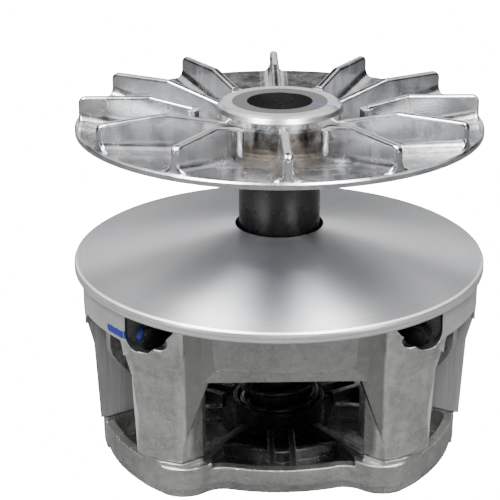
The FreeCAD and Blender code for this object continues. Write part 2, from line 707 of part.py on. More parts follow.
def cover():
    """Trilobe cover: floor, wall, ribs and screw pads."""
    body = outline_prism(0, COVER_STEP, COVER_RIM)
    lower = outline_prism(COVER_STEP_IN, 0, COVER_STEP)
    body = body.fuse(lower)
    body = body.cut(outline_prism(COVER_WALL, COVER_FLOOR, COVER_RIM + 1))
    low_front = Part.makeBox(30, 68, 10, Vector(60, -34, COVER_FRONT_RIM))
    body = body.cut(around(low_front, WINDOW_AZIMUTHS))
    inside = outline_prism(1.0, 1.0, COVER_RIM)
    ribs = []
    for shape in cover_ribs():
        ribs += around(shape.common(inside), WINDOW_AZIMUTHS)
    body = join(body, ribs + cover_pads())
    cuts = [Part.makeCylinder(LOWER_POST_RADIUS + BUSH_WALL + FIT_GAP, 40, Vector(0, 0, -1))]
    screw = Part.makeCylinder(SCREW_RADIUS + BODY_GAP, 40, Vector(SCREW_CIRCLE, 0, -1))
    counterbore = Part.makeCylinder(
        SCREW_HEAD_RADIUS + 0.5, SCREW_HEAD_DEPTH + 1.4, Vector(SCREW_CIRCLE, 0, -1))
    for shape in (screw, counterbore):
        for azimuth in STATION_AZIMUTHS:
            cuts += around(shape, [azimuth - SCREW_ANGLE, azimuth + SCREW_ANGLE])
    return body.cut(cuts).removeSplitter()


def spring_cup():
    """Flanged cup on the cover's floor, round the spring's lower end."""
    bore = LOWER_POST_RADIUS + BUSH_WALL + FIT_GAP
    return turned([
        (bore, COVER_FLOOR),
        (CUP_FLANGE_RADIUS, COVER_FLOOR),
        (CUP_FLANGE_RADIUS, CUP_FLANGE_TOP - 0.8),
        (CUP_FLANGE_RADIUS - 0.8, CUP_FLANGE_TOP),
        (CUP_RADIUS, CUP_FLANGE_TOP),
        (CUP_RADIUS, CUP_TOP - 0.6),
        (CUP_RADIUS - 0.6, CUP_TOP),
        (CUP_INNER, CUP_TOP),
        (CUP_INNER, SPRING_SEAT_Z),
        (bore, SPRING_SEAT_Z),
    ])


def cover_screws():
    """Six flange-head screws that hold the cover to the towers."""
    head_low = 0.4
    head_top = head_low + SCREW_HEAD_DEPTH
    head = Part.makeCylinder(SCREW_HEAD_RADIUS, 1.6, Vector(0, 0, head_top - 1.6))
    crown = Part.makeCylinder(SCREW_HEAD_RADIUS - 1.6, SCREW_HEAD_DEPTH, Vector(0, 0, head_low))
    shank = Part.makeCylinder(SCREW_RADIUS, SCREW_REACH - head_top, Vector(0, 0, head_top))
    socket_corners = [polar(2.9, 60 * i) for i in range(6)]
    socket = prism(socket_corners, head_low - 1, head_low + 3)
    screw = join(head, [crown, shank]).cut(socket)
    screw.translate(Vector(SCREW_CIRCLE, 0, 0))
    screws = []
    for azimuth in STATION_AZIMUTHS:
        screws += around(screw, [azimuth - SCREW_ANGLE, azimuth + SCREW_ANGLE])
    return Part.makeCompound(screws)


# --- inside the clutch -------------------------------------------------------
def spider():
    """Three-armed driver on the post; each arm is a fork for a roller."""
    hub = ring(SPIDER_HUB_RADIUS, POST_RADIUS, SPIDER_BOTTOM, SPIDER_TOP)
    outline = [
        (26.0, ARM_BOTTOM), (CHEEK_END - 5, ARM_BOTTOM), (CHEEK_END, ARM_BOTTOM + 4),
        (CHEEK_END, ARM_TOP - 4), (CHEEK_END - 5, ARM_TOP), (26.0, ARM_TOP),
    ]
    cheek = plate(outline, CHEEK_INNER, CHEEK_OUTER)
    cheek = cheek.cut(cross_rod(ROLLER_PIN_RADIUS, ROLLER_OUT, ROLLER_Z, 0, 40))
    cheek = cheek.cut(cross_rod(BUTTON_STEM, BUTTON_OUT, ROLLER_Z, CHEEK_OUTER - 3, 40))
    arms = []
    for shape in (cheek, mirror_across(cheek)):
        arms += around(shape, STATION_AZIMUTHS)
    body = join(hub, arms)
    bore = Part.makeCylinder(POST_RADIUS, 60, Vector(0, 0, 30))
    return body.cut(bore).removeSplitter()


def spider_nut():
    """Slotted ring nut that locks the spider on the post."""
    nut = ring(NUT_RADIUS, POST_RADIUS, SPIDER_TOP, SPIDER_TOP + NUT_DEPTH)
    slot = Part.makeBox(6, 5, 8, Vector(NUT_RADIUS - 3, -2.5, SPIDER_TOP + NUT_DEPTH - 3))
    return nut.cut(around(slot, [90 * i for i in range(4)]))


def spider_buttons():
    """Six slide buttons between the spider's arms and the channel walls."""
    face = CHANNEL_HALF - BODY_GAP
    disc = cross_rod(BUTTON_RADIUS, BUTTON_OUT, ROLLER_Z, CHEEK_OUTER, face)
    stem = cross_rod(BUTTON_STEM, BUTTON_OUT, ROLLER_Z, CHEEK_OUTER - 3, CHEEK_OUTER)
    button = join(disc, [stem])
    buttons = []
    for shape in (button, mirror_across(button)):
        buttons += around(shape, STATION_AZIMUTHS)
    return Part.makeCompound(buttons)


def roller():
    """One roller at its station."""
    outer = cross_rod(ROLLER_RADIUS, ROLLER_OUT, ROLLER_Z, -ROLLER_HALF, ROLLER_HALF)
    bore = ROLLER_PIN_RADIUS + FIT_GAP + BUSH_WALL
    return outer.cut(cross_rod(bore, ROLLER_OUT, ROLLER_Z, -20, 20))


def roller_bush():
    """Bush pressed into a roller."""
    length = ROLLER_HALF + 0.4
    outer = ROLLER_PIN_RADIUS + FIT_GAP + BUSH_WALL
    body = cross_rod(outer, ROLLER_OUT, ROLLER_Z, -length, length)
    return body.cut(cross_rod(ROLLER_PIN_RADIUS + FIT_GAP, ROLLER_OUT, ROLLER_Z, -20, 20))


def roller_pins():
    """Three pins, one through each spider fork."""
    pin = cross_rod(ROLLER_PIN_RADIUS, ROLLER_OUT, ROLLER_Z, -CHEEK_OUTER, CHEEK_OUTER)
    return Part.makeCompound(around(pin, STATION_AZIMUTHS))


def cam_face():
    """Points of a flyweight's cam face, relative to its pivot, as (out, z).

    The weight turns in step with the shift, so the roller's centre, seen from
    the weight, follows a curve; the cam face runs beside that curve at the
    roller's radius.
    """
    steps = 11

    def centre(share):
        swing = math.radians(WEIGHT_SWING * share)
        out = ROLLER_OUT - PIVOT_OUT
        z = ROLLER_Z - PIVOT_Z - SHIFT_TRAVEL * share
        return Vector(
            out * math.cos(swing) + z * math.sin(swing), 0, -out * math.sin(swing) + z * math.cos(swing))

    points = []
    for i in range(-1, steps + 1):
        share = i / (steps - 1)
        along = centre(share + 0.01) - centre(share - 0.01)
        along.normalize()
        normal = Vector(along.z, 0, -along.x)
        points.append(centre(share) + normal * (ROLLER_RADIUS + BODY_GAP))
    return points


def flyweight():
    """One flyweight, hanging inwards from its pivot under the disc."""
    cam = cam_face()
    curve = Part.BSplineCurve()
    curve.interpolate(cam)
    tip = cam[-1] + Vector(0.5, 0, 8.0)
    back = Vector(-14.0, 0, 7.0)
    boss_top = Vector(0, 0, PIVOT_BOSS_RADIUS - 0.2)
    boss_low = Vector(-1.0, 0, -6.0)
    corners = [cam[-1], tip, back, boss_top, boss_low, cam[0]]
    edges = [curve.toShape()]
    for start, end in zip(corners, corners[1:]):
        edges.append(Part.makeLine(start, end))
    blade = Part.Face(Part.Wire(edges)).extrude(Vector(0, 2 * WEIGHT_HALF, 0))
    blade.translate(Vector(PIVOT_OUT, -WEIGHT_HALF, PIVOT_Z))
    boss = cross_rod(PIVOT_BOSS_RADIUS, PIVOT_OUT, PIVOT_Z, -WEIGHT_HALF, WEIGHT_HALF)
    sleeve_end = CHANNEL_HALF - BODY_GAP
    sleeve = cross_rod(SLEEVE_RADIUS, PIVOT_OUT, PIVOT_Z, -sleeve_end, sleeve_end)
    slot = WEB_HALF + BODY_GAP
    fork = cross_rod(WEIGHT_FORK_REACH, PIVOT_OUT, PIVOT_Z, -slot, slot)
    bore = PIVOT_BOLT_RADIUS + FIT_GAP + BUSH_WALL
    hole = cross_rod(bore, PIVOT_OUT, PIVOT_Z, -sleeve_end - 1, sleeve_end + 1)
    return join(blade, [boss, sleeve]).cut([fork, hole])


def flyweight_bush():
    """Two bushes pressed into a flyweight's pivot, one each side of the web."""
    near = WEB_HALF + BODY_GAP
    far = CHANNEL_HALF - BODY_GAP
    outer = PIVOT_BOLT_RADIUS + FIT_GAP + BUSH_WALL
    body = cross_rod(outer, PIVOT_OUT, PIVOT_Z, near, far)
    body = body.cut(cross_rod(PIVOT_BOLT_RADIUS + FIT_GAP, PIVOT_OUT, PIVOT_Z, near - 1, far + 1))
    return Part.makeCompound([body, mirror_across(body)])


def pivot_bolts():
    """Three pivot bolts, heads in the pockets on one side of each station."""
    wall = CHANNEL_HALF + CHANNEL_WALL
    shank_end = -wall - BOLT_NUT_DEPTH - BOLT_OVERHANG
    shank = cross_rod(PIVOT_BOLT_RADIUS, PIVOT_OUT, PIVOT_Z, shank_end, wall)
    head = hexagon(BOLT_HEAD_FLATS, PIVOT_OUT, PIVOT_Z, wall, wall + BOLT_HEAD_DEPTH)
    return Part.makeCompound(around(join(shank, [head]), STATION_AZIMUTHS))


def pivot_nuts():
    """Three lock nuts on the pivot bolts."""
    wall = CHANNEL_HALF + CHANNEL_WALL
    nut = hexagon(BOLT_HEAD_FLATS, PIVOT_OUT, PIVOT_Z, -wall - BOLT_NUT_DEPTH, -wall)
    nut = nut.cut(cross_rod(PIVOT_BOLT_RADIUS, PIVOT_OUT, PIVOT_Z, -50, 0))
    return Part.makeCompound(around(nut, STATION_AZIMUTHS))


def primary_spring():
    """Compression spring between the cup and the post's shoulder."""
    low = SPRING_SEAT_Z + SPRING_WIRE + SPRING_END_GAP
    high = SPIDER_BOTTOM - SPRING_WIRE - SPRING_END_GAP
    pitch = (high - low) / SPRING_TURNS
    helix = Part.makeHelix(pitch, high - low, SPRING_MEAN_RADIUS)
    helix.translate(Vector(0, 0, low))
    start = Vector(SPRING_MEAN_RADIUS, 0, low)
    section = Part.Wire(Part.makeCircle(SPRING_WIRE, start, Vector(0, 1, 0)))
    coil = Part.Wire(helix).makePipeShell([section], True, True)
    return coil


def cover_bushing():
    """Plain bush in the cover, on the post's slimmer end."""
    inner = LOWER_POST_RADIUS + FIT_GAP
    return ring(inner + BUSH_WALL, inner, COVER_BUSH_BOTTOM, COVER_BUSH_TOP)


def movable_bushing():
    """Plain bush in the movable half's hub."""
    top = FACE_EDGE_Z + FACE_RISE - BUSH_RECESS
    return ring(MOVABLE_BORE, POST_RADIUS + FIT_GAP, MOVABLE_HUB_BOTTOM + 2.0, top)


def main():
    """Write every node."""
    write("fixed_sheave", fixed_sheave())
    write("post_shaft", post_shaft())
    write("movable_sheave", movable_sheave())
    write("movable_bushing", movable_bushing())
    write("cover", cover())
    write("cover_bushing", cover_bushing())
    write("spring_cup", spring_cup())
    write("cover_screws", cover_screws())
    write("primary_spring", primary_spring())
    write("spider", spider())
    write("spider_nut", spider_nut())
    write("spider_buttons", spider_buttons())
    write("roller_pins", roller_pins())
    write("pivot_bolts", pivot_bolts())
    write("pivot_nuts", pivot_nuts())
    station_nodes = {
        "roller": roller(), "roller_bush": roller_bush(),
        "flyweight": flyweight(), "flyweight_bush": flyweight_bush(),
    }
    for name, shape in station_nodes.items():
        for number, azimuth in enumerate(STATION_AZIMUTHS, start=1):
            write(name + "_" + str(number), turn(shape, azimuth))


main()
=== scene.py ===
"""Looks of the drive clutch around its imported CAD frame: materials, paint marks, studio and camera."""

import math

import bmesh
import bpy
from mathutils import Matrix, Vector


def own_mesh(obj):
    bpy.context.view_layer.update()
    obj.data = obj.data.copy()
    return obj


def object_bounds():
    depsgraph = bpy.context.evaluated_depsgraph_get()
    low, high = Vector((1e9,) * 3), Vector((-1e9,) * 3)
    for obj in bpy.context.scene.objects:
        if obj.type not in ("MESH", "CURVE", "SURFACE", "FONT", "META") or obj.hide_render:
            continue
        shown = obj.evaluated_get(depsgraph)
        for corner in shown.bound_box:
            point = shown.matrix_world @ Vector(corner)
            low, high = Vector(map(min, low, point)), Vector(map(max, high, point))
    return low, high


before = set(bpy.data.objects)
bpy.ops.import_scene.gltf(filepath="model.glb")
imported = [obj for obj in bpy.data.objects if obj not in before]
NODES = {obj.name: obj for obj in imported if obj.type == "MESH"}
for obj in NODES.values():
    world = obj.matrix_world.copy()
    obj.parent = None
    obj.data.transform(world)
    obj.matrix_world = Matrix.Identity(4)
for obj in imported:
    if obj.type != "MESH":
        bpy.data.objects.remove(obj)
CAD_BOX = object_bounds()

# Places on the part, in metres. Angles are in degrees from the nearest station.
STATION_AZIMUTHS = (90, 210, 330)
WALL_TURN = 0.35           # how far a normal may lean and still face in or out

# sliding half
FACE_EDGE_Z = 0.098
FACE_FOOT_Z = 0.0979
RIM_RADIUS = 0.100
LIP_DEPTH = 0.0008         # how far inside the rim the lip's outer faces may lie
LIP_BOTTOM = 0.0925
LIP_STEP_Z = 0.0953
SKIRT_DEPTH = 0.0012
SKIRT_BOTTOM = 0.0785
POCKET_FLOOR_Z = 0.075
POCKET_TOP_Z = LIP_BOTTOM + 0.0006
POCKET_ANGLES = (11.5, 26.0)
POCKET_RADII = (0.076, 0.0992)
WEB_REACH = 0.0130
CHANNEL_REACH = 0.0218
CHANNEL_START = 0.055
UNDERSIDE_RADIUS = 0.083
GUSSET_ANGLE = 28.6        # a tower's outer ridge, where its gusset starts
BAND_ANGLE = 38.3
BAND_BOTTOM = 0.0718
BAND_EDGE_HEIGHT = 0.0009

# cover
COVER_FLOOR_Z = 0.004
COVER_INNER_TOP = 0.0125
COVER_FLOOR_RADIUS = 0.086
COVER_WALL_RADIUS = 0.094
COVER_MIDDLE_RADIUS = 0.062

# fixed half and post
FIN_FLOOR_Z = 0.1540
BELT_SIDE_TOP = 0.165
HUB_FACE_Z = 0.1690
HUB_FACE_RADIUS = 0.0345
POST_END_Z = 0.172
BORE_EDGE_RADIUS = 0.0165

MARK_BLUE = (0.060, 0.095, 0.50, 1.0)


# --- node helpers ------------------------------------------------------------
class Nodes:
    """Short-hand for building one material's node tree."""

    def __init__(self, name):
        self.material = bpy.data.materials.new(name)
        self.material.use_nodes = True
        self.tree = self.material.node_tree
        self.shader = self.tree.nodes["Principled BSDF"]

    def add(self, kind, inputs=None, **settings):
        node = self.tree.nodes.new(kind)
        for key, value in settings.items():
            setattr(node, key, value)
        for key, value in (inputs or {}).items():
            self.feed(node.inputs[key], value)
        return node

    def feed(self, socket, value):
        if isinstance(value, bpy.types.NodeSocket):
            self.tree.links.new(value, socket)
        else:
            socket.default_value = value

    def math(self, operation, first, second=0.0, clamp=False):
        node = self.add("ShaderNodeMath", {0: first, 1: second}, operation=operation, use_clamp=clamp)
        return node.outputs[0]

    def both(self, *masks):
        product = masks[0]
        for mask in masks[1:]:
            product = self.math("MULTIPLY", product, mask)
        return product

    def remap(self, value, low, high, to_low=0.0, to_high=1.0):
        node = self.add("ShaderNodeMapRange", {
            "Value": value, "From Min": low, "From Max": high, "To Min": to_low, "To Max": to_high})
        return node.outputs[0]

    def mix(self, share, first, second):
        node = self.add("ShaderNodeMix", {0: share, 6: first, 7: second}, data_type="RGBA")
        return node.outputs[2]

    def noise(self, scale, detail=4.0, roughness=0.5, vector=None):
        place = self.place() if vector is None else vector
        node = self.add("ShaderNodeTexNoise", {
            "Vector": place, "Scale": scale, "Detail": detail, "Roughness": roughness})
        return node.outputs[0]

    def place(self):
        return self.add("ShaderNodeTexCoord").outputs["Object"]

    def stretched(self, scale):
        return self.add("ShaderNodeMapping", {"Vector": self.place(), "Scale": scale}).outputs[0]

    def axes(self):
        return self.add("ShaderNodeSeparateXYZ", {"Vector": self.place()}).outputs

    def radius(self):
        x, y, _ = self.axes()
        squared = self.math("ADD", self.math("MULTIPLY", x, x), self.math("MULTIPLY", y, y))
        return self.math("SQRT", squared)

    def azimuth(self):
        x, y, _ = self.axes()
        return self.math("ARCTAN2", y, x)

    def off_station(self):
        """Angle in radians to the nearest of the three stations."""
        turned = self.math("ADD", self.azimuth(), math.radians(360.0 - 30.0))
        within = self.math("MODULO", turned, math.radians(120.0))
        return self.math("ABSOLUTE", self.math("SUBTRACT", within, math.radians(60.0)))

    def rings(self, scale, detail=2.0):
        """Noise that only changes with the distance from the shaft axis."""
        line = self.add("ShaderNodeCombineXYZ", {"X": self.radius()}).outputs[0]
        return self.noise(scale, detail, 0.6, line)

    def bump(self, height, strength, distance, normal=None):
        node = self.add("ShaderNodeBump", {"Height": height, "Strength": strength, "Distance": distance})
        if normal is not None:
            self.feed(node.inputs["Normal"], normal)
        return node.outputs[0]

    def rounded(self, radius, samples=4):
        return self.add("ShaderNodeBevel", {"Radius": radius}, samples=samples).outputs[0]

    def worn_and_lit_edges(self, radius):
        """1 where an edge lies within this radius, broken up by noise."""
        true_normal = self.add("ShaderNodeNewGeometry").outputs["Normal"]
        compared = self.add("ShaderNodeVectorMath", {
            0: self.rounded(radius), 1: true_normal}, operation="DOT_PRODUCT").outputs["Value"]
        near = self.remap(compared, 0.90, 0.985, 1.0, 0.0)
        return self.math("MULTIPLY", near, self.remap(self.noise(300.0, 3.0), 0.30, 0.60, 0.35, 1.0))

    def finish(self, color, metallic, roughness, normal):
        self.feed(self.shader.inputs["Base Color"], color)
        self.shader.inputs["Metallic"].default_value = metallic
        self.feed(self.shader.inputs["Roughness"], roughness)
        self.feed(self.shader.inputs["Normal"], normal)
        return self.material


def grey(value):
    return (value, value, value, 1.0)


def cool(value):
    return (value * 0.96, value * 0.99, value * 1.05, 1.0)


def warm(value):
    return (value * 1.01, value * 1.0, value * 0.975, 1.0)


# --- paint marks -------------------------------------------------------------
def dash_mask(n):
    """Painted dash with rounded ends on the skirt."""
    middle_azimuth, middle_z = math.radians(-140.25), 0.0825
    half_length, half_width = 0.0082, 0.0019
    skirt_radius = 0.0940
    along = n.math("MULTIPLY", n.math("SUBTRACT", n.azimuth(), middle_azimuth), RIM_RADIUS)
    from_middle = n.math("ABSOLUTE", along)
    beyond = n.math("MAXIMUM", n.math("SUBTRACT", from_middle, half_length - half_width), 0.0)
    up = n.math("SUBTRACT", n.axes()[2], middle_z)
    squared = n.math("ADD", n.math("MULTIPLY", beyond, beyond), n.math("MULTIPLY", up, up))
    distance = n.math("SQRT", squared)
    outside = n.remap(n.radius(), skirt_radius, skirt_radius + 0.0002)
    wobble = n.remap(n.noise(700.0, 3.0), 0.3, 0.7, -0.0003, 0.0003)
    edge = n.math("ADD", distance, wobble)
    return n.both(outside, n.remap(edge, half_width - 0.0002, half_width + 0.0001, 1.0, 0.0))


def stroke_mask(n):
    """Thin painted stroke over the hub's top, from the bore to the ring's edge."""
    lowest = 0.170
    start = Vector((0.0153, -0.0047, 0))
    end = Vector((0.0268, -0.0119, 0))
    along = (end - start).normalized()
    x, y, z = n.axes()
    dx = n.math("SUBTRACT", x, start.x)
    dy = n.math("SUBTRACT", y, start.y)
    run = n.math("ADD", n.math("MULTIPLY", dx, along.x), n.math("MULTIPLY", dy, along.y))
    side = n.math("SUBTRACT", n.math("MULTIPLY", dx, along.y), n.math("MULTIPLY", dy, along.x))
    thin = n.remap(n.math("ABSOLUTE", side), 0.00040, 0.00060, 1.0, 0.0)
    begun = n.remap(run, -0.0002, 0.0)
    ended = n.remap(run, (end - start).length, (end - start).length + 0.0002, 1.0, 0.0)
    return n.both(thin, begun, ended, n.remap(z, lowest, lowest + 0.0005))


def daub_mask(n):
    """Daub of paint over one side of one pivot bolt's head."""
    middle = Vector((-0.0662, -0.0660, 0.0822))
    reach = 0.0046
    away = n.add("ShaderNodeVectorMath", {0: n.place(), 1: middle}, operation="DISTANCE").outputs["Value"]
    wobble = n.remap(n.noise(500.0, 3.0), 0.3, 0.7, -0.0008, 0.0008)
    return n.remap(n.math("ADD", away, wobble), reach, reach + 0.0004, 1.0, 0.0)


# --- materials ---------------------------------------------------------------
def ridged(n, color, tone, tint):
    """A tower's facets: a painted highlight streaked along the ridge, and painted shade on the gusset
    past it.
    """
    off = n.off_station()
    streaks = n.remap(n.noise(150.0, 4.0, 0.6, n.stretched((1.0, 1.0, 0.25))), 0.36, 0.60)
    rise = n.remap(off, math.radians(GUSSET_ANGLE - 3.4), math.radians(GUSSET_ANGLE - 0.6))
    past = n.remap(off, math.radians(GUSSET_ANGLE - 0.2), math.radians(GUSSET_ANGLE + 0.5))
    # Painted highlight along the tower's ridge.
    ridge_highlight = n.both(rise, streaks, n.remap(past, 0.0, 1.0, 0.75, 0.0))
    color = n.mix(ridge_highlight, color, tint(min(1.0, tone * 1.8)))
    # Painted shade on the gusset facets past the ridge.
    return n.mix(n.math("MULTIPLY", past, 0.80), color, tint(tone * 0.48))


def casting(name, tone, roughness=0.33, spread=0.32, tint=warm, grain=0.30, marked=False):
    """Aluminium casting: patches, faint upright draw marks, uneven skin, grain, small pits, and edges
    lightened as painted highlight and rubbed wear.
    The marked one is the towers': it also has a painted highlight along their ridges, painted shade on
    their gussets, and the painted dash.
    """
    n = Nodes(name)
    patches = n.noise(38.0, 5.0, 0.6)
    draws = n.noise(210.0, 3.0, 0.6, n.stretched((1.0, 1.0, 0.30)))
    mottle = n.noise(260.0, 4.0, 0.65)
    fine = n.noise(1600.0, 3.0, 0.65)
    pits = n.remap(n.noise(900.0, 3.0, 0.6), 0.62, 0.70)
    clusters = n.remap(n.noise(45.0, 3.0, 0.6), 0.46, 0.60)
    specks = n.both(n.remap(n.noise(1250.0, 2.0, 0.5), 0.60, 0.68), clusters)
    broad = n.math("ADD", n.math("MULTIPLY", patches, 0.45), n.math("MULTIPLY", draws, 0.20))
    blend = n.math("ADD", broad, n.math("MULTIPLY", mottle, 0.35))
    color = n.mix(n.remap(blend, 0.38, 0.62), tint(tone * (1 - spread)), tint(tone * (1 + spread)))
    color = n.mix(n.remap(fine, 0.30, 0.70, 0.0, 0.30), color, tint(min(1.0, tone * 1.6)))
    color = n.mix(n.math("MULTIPLY", pits, 0.55), color, tint(tone * 0.40))
    color = n.mix(n.math("MULTIPLY", specks, 0.55), color, tint(min(1.0, tone * 1.9)))
    # Edges lightened: painted highlight along them, and rubbed wear.
    color = n.mix(n.math("MULTIPLY", n.worn_and_lit_edges(0.0011), 0.75), color, tint(min(1.0, tone * 1.9)))
    if marked:
        # Painted highlight on the ridges and painted shade on the gussets.
        color = ridged(n, color, tone, tint)
        color = n.mix(dash_mask(n), color, MARK_BLUE)
    skin = n.bump(n.noise(170.0, 4.0, 0.55), 0.80, 0.0013, n.rounded(0.0010))
    height = n.math("SUBTRACT", n.math("ADD", fine, n.math("MULTIPLY", mottle, 0.8)), pits)
    normal = n.bump(height, grain, 0.00022, skin)
    return n.finish(color, 0.95, n.remap(patches, 0.3, 0.7, roughness - 0.08, roughness + 0.08), normal)


def turned_face():
    """Satin turned belt face: fine rings and a brushed sheen round the axis."""
    n = Nodes("turned_belt_face")
    fine = n.rings(9000.0, 3.0)
    broad = n.rings(500.0, 3.0)
    wear = n.noise(26.0, 5.0, 0.6)
    tone = n.math("ADD", n.math("MULTIPLY", fine, 0.5), n.math("MULTIPLY", wear, 0.5))
    color = n.mix(n.remap(tone, 0.35, 0.65), cool(0.66), grey(0.78))
    worn_from, worn_to = 0.086, 0.096
    worn = n.both(n.remap(n.radius(), worn_from, worn_to), n.remap(broad, 0.45, 0.65))
    color = n.mix(n.math("MULTIPLY", worn, 0.25), color, grey(0.45))
    n.shader.inputs["Anisotropic"].default_value = 0.90
    n.shader.inputs["Anisotropic Rotation"].default_value = 0.25
    around = n.add("ShaderNodeTangent", direction_type="RADIAL", axis="Z").outputs[0]
    n.feed(n.shader.inputs["Tangent"], around)
    normal = n.bump(n.math("ADD", fine, n.math("MULTIPLY", broad, 0.5)), 0.10, 0.00003)
    return n.finish(color, 1.0, n.remap(fine, 0.3, 0.7, 0.38, 0.46), normal)


def rim_metal(name, tone, roughness, marked=False, lined=False):
    """Turned rim: rings up the cylinder, and the painted dash where it is marked."""
    n = Nodes(name)
    rings = n.noise(1500.0, 3.0, 0.6, n.stretched((0.02, 0.02, 1.0)))
    patches = n.noise(60.0, 4.0, 0.6)
    share = n.math("ADD", n.math("MULTIPLY", rings, 0.5), n.math("MULTIPLY", patches, 0.5))
    color = n.mix(n.remap(share, 0.35, 0.65), grey(tone * 0.84), grey(min(1.0, tone * 1.14)))
    if marked:
        color = n.mix(dash_mask(n), color, MARK_BLUE)
    if lined:
        # Painted shade: a dark line at the lip's step and along its foot. Painted highlight: a glint just
        # under the face edge.
        z = n.axes()[2]
        step = n.remap(n.math("ABSOLUTE", n.math("SUBTRACT", z, LIP_STEP_Z)), 0.00008, 0.00022, 1.0, 0.0)
        foot = n.remap(z, LIP_BOTTOM, LIP_BOTTOM + 0.0008, 1.0, 0.0)
        shade = n.math("MULTIPLY", n.math("MAXIMUM", step, foot), 0.55)
        color = n.mix(shade, color, grey(tone * 0.30))
        glint = n.remap(z, FACE_EDGE_Z - 0.0007, FACE_EDGE_Z - 0.0004)
        color = n.mix(glint, color, grey(0.97))
    normal = n.bump(rings, 0.12, 0.00005, n.rounded(0.0003))
    return n.finish(color, 0.80, n.remap(rings, 0.3, 0.7, roughness - 0.04, roughness + 0.04), normal)


def striated_wall():
    """Darker channel wall with fine upright striations."""
    n = Nodes("striated_wall")
    lines = n.noise(1100.0, 3.0, 0.7, n.stretched((1.0, 1.0, 0.03)))
    broad = n.noise(160.0, 3.0, 0.6, n.stretched((1.0, 1.0, 0.08)))
    share = n.math("ADD", n.math("MULTIPLY", lines, 0.55), n.math("MULTIPLY", broad, 0.45))
    color = n.mix(n.remap(share, 0.36, 0.62), grey(0.42), grey(0.58))
    normal = n.bump(lines, 0.35, 0.00015, n.rounded(0.0005))
    return n.finish(color, 0.3, n.remap(lines, 0.3, 0.7, 0.38, 0.52), normal)


def bright_fins():
    """Bright die-cast fins: smeared casting skin, brown dirt and painted shade near the hub, painted
    shade under the hub ring, polished edges.
    """
    dirt_and_shade_low, dirt_and_shade_high = FIN_FLOOR_Z + 0.002, FIN_FLOOR_Z + 0.010
    dirt_and_shade_inner, dirt_and_shade_outer = 0.034, 0.062
    hub_inner, hub_outer = 0.0320, 0.0350
    ring_low, ring_high = 0.1655, 0.1680
    n = Nodes("bright_fins")
    flow = n.noise(120.0, 5.0, 0.65, n.stretched((1.0, 1.0, 0.35)))
    fine = n.noise(1500.0, 3.0, 0.6)
    color = n.mix(n.remap(flow, 0.35, 0.65), cool(0.50), grey(0.72))
    low = n.remap(n.axes()[2], dirt_and_shade_low, dirt_and_shade_high, 1.0, 0.0)
    inner = n.remap(n.radius(), dirt_and_shade_inner, dirt_and_shade_outer, 1.0, 0.0)
    blots = n.remap(n.noise(170.0, 5.0, 0.65), 0.40, 0.60)
    # Brown dirt and painted shade in the corner of the fin floor near the hub.
    dirt_and_shade = n.both(low, n.math("ADD", n.math("MULTIPLY", inner, 0.85), n.math("MULTIPLY", blots, 0.15)))
    color = n.mix(n.math("MULTIPLY", dirt_and_shade, 0.80), color, (0.10, 0.080, 0.058, 1.0))
    stains = n.both(n.remap(n.noise(95.0, 4.0, 0.6), 0.60, 0.68), low)
    color = n.mix(n.math("MULTIPLY", stains, 0.55), color, (0.20, 0.15, 0.10, 1.0))
    # Painted shade on the hub wall just under the ring.
    near_hub = n.remap(n.radius(), hub_inner, hub_outer, 1.0, 0.0)
    under_ring = n.both(near_hub, n.remap(n.axes()[2], ring_low, ring_high, 1.0, 0.0))
    ring_shadow = n.math("MULTIPLY", under_ring, n.remap(blots, 0.0, 1.0, 0.70, 0.95))
    color = n.mix(ring_shadow, color, (0.045, 0.036, 0.027, 1.0))
    roughness = n.remap(n.math("ADD", flow, n.math("MULTIPLY", dirt_and_shade, 0.6)), 0.35, 1.2, 0.19, 0.44)
    height = n.math("ADD", flow, n.math("MULTIPLY", fine, 0.25))
    return n.finish(color, 1.0, roughness, n.bump(height, 0.10, 0.00035, n.rounded(0.0005)))


def turned_hub():
    """Machined hub ring: fine rings, and the painted stroke."""
    n = Nodes("turned_hub")
    fine = n.rings(8000.0, 3.0)
    patches = n.noise(90.0, 4.0, 0.6)
    share = n.math("ADD", n.math("MULTIPLY", fine, 0.5), n.math("MULTIPLY", patches, 0.5))
    color = n.mix(n.remap(share, 0.35, 0.65), cool(0.62), grey(0.85))
    color = n.mix(stroke_mask(n), color, MARK_BLUE)
    normal = n.bump(fine, 0.15, 0.00004, n.rounded(0.0003))
    return n.finish(color, 1.0, n.remap(fine, 0.3, 0.7, 0.22, 0.34), normal)


def black_coat(name, tone=0.016, roughness=0.26):
    """Satin black coat with faint dust and rubbed edges."""
    n = Nodes(name)
    dust = n.remap(n.noise(90.0, 5.0, 0.6), 0.50, 0.80)
    fine = n.noise(2200.0, 2.0, 0.6)
    color = n.mix(n.math("MULTIPLY", dust, 0.5), grey(tone), grey(tone * 1.8))
    normal = n.bump(fine, 0.05, 0.00005, n.rounded(0.0004))
    return n.finish(color, 0.0, n.remap(dust, 0.0, 1.0, roughness, roughness + 0.12), normal)


def ring_steel():
    """Dark grey ground end of the post, with the painted stroke."""
    n = Nodes("ring_steel")
    fine = n.rings(7000.0, 3.0)
    color = n.mix(n.remap(fine, 0.3, 0.7), grey(0.050), grey(0.085))
    color = n.mix(stroke_mask(n), color, MARK_BLUE)
    normal = n.bump(fine, 0.12, 0.00004, n.rounded(0.0003))
    return n.finish(color, 0.6, n.remap(fine, 0.3, 0.7, 0.30, 0.42), normal)


